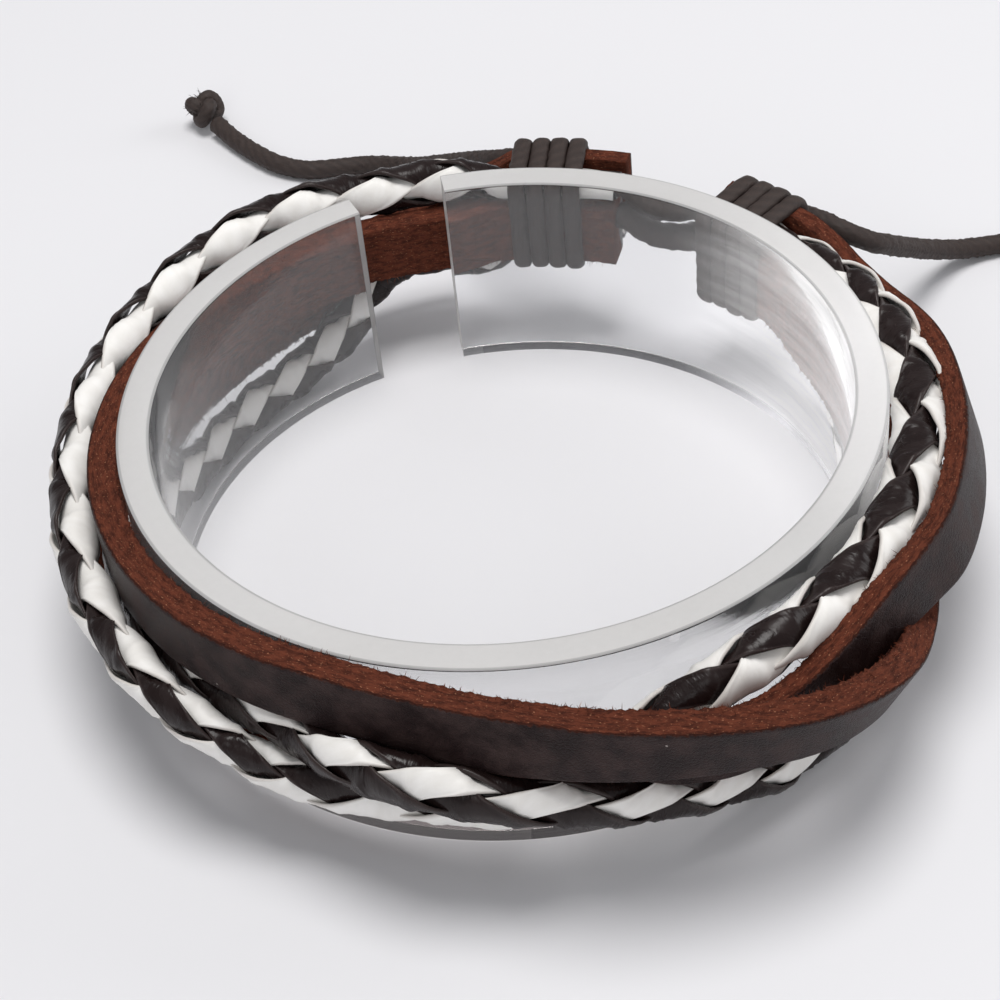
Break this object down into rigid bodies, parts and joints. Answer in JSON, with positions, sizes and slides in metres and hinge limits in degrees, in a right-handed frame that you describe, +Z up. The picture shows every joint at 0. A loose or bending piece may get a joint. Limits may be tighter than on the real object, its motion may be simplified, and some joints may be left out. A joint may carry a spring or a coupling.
{
  "type": "layered braided leather bracelet on a clear display ring",
  "caption": "Bracelet of flat leather straps and two-tone lace braids, bound with waxed cord at the back, resting round a clear C-shaped display ring.",
  "frame": {"origin": "on the ring's axis, at the level of its bottom edge, where the ring stands on the surface", "axes": "+Z up along the ring's axis, -Y towards the front crossing, +Y towards the cord closure at the back, +X to the right"},
  "size_m": [0.099, 0.1136, 0.0197],
  "materials": {
    "clear_plastic": "clear, slightly milky plastic with a satin sawn rim",
    "strap_leather": "dark brown smooth grain with raw rust-brown cut edges",
    "braid_lace": "off-white and near-black glossy lace, two of each",
    "waxed_cord": "dark brown waxed cotton cord"
  },
  "bodies": {
    "root": {"display_ring": "clear_plastic", "front_strap": "strap_leather", "outer_strap": "strap_leather", "long_braid": "braid_lace", "lower_braid": "braid_lace", "left_binding": "waxed_cord", "right_binding": "waxed_cord", "upper_closure_cord": "waxed_cord", "lower_closure_cord": "waxed_cord", "left_tail": "waxed_cord", "right_tail": "waxed_cord", "left_knot": "waxed_cord", "right_knot": "waxed_cord"}
  },
  "joints": []
}
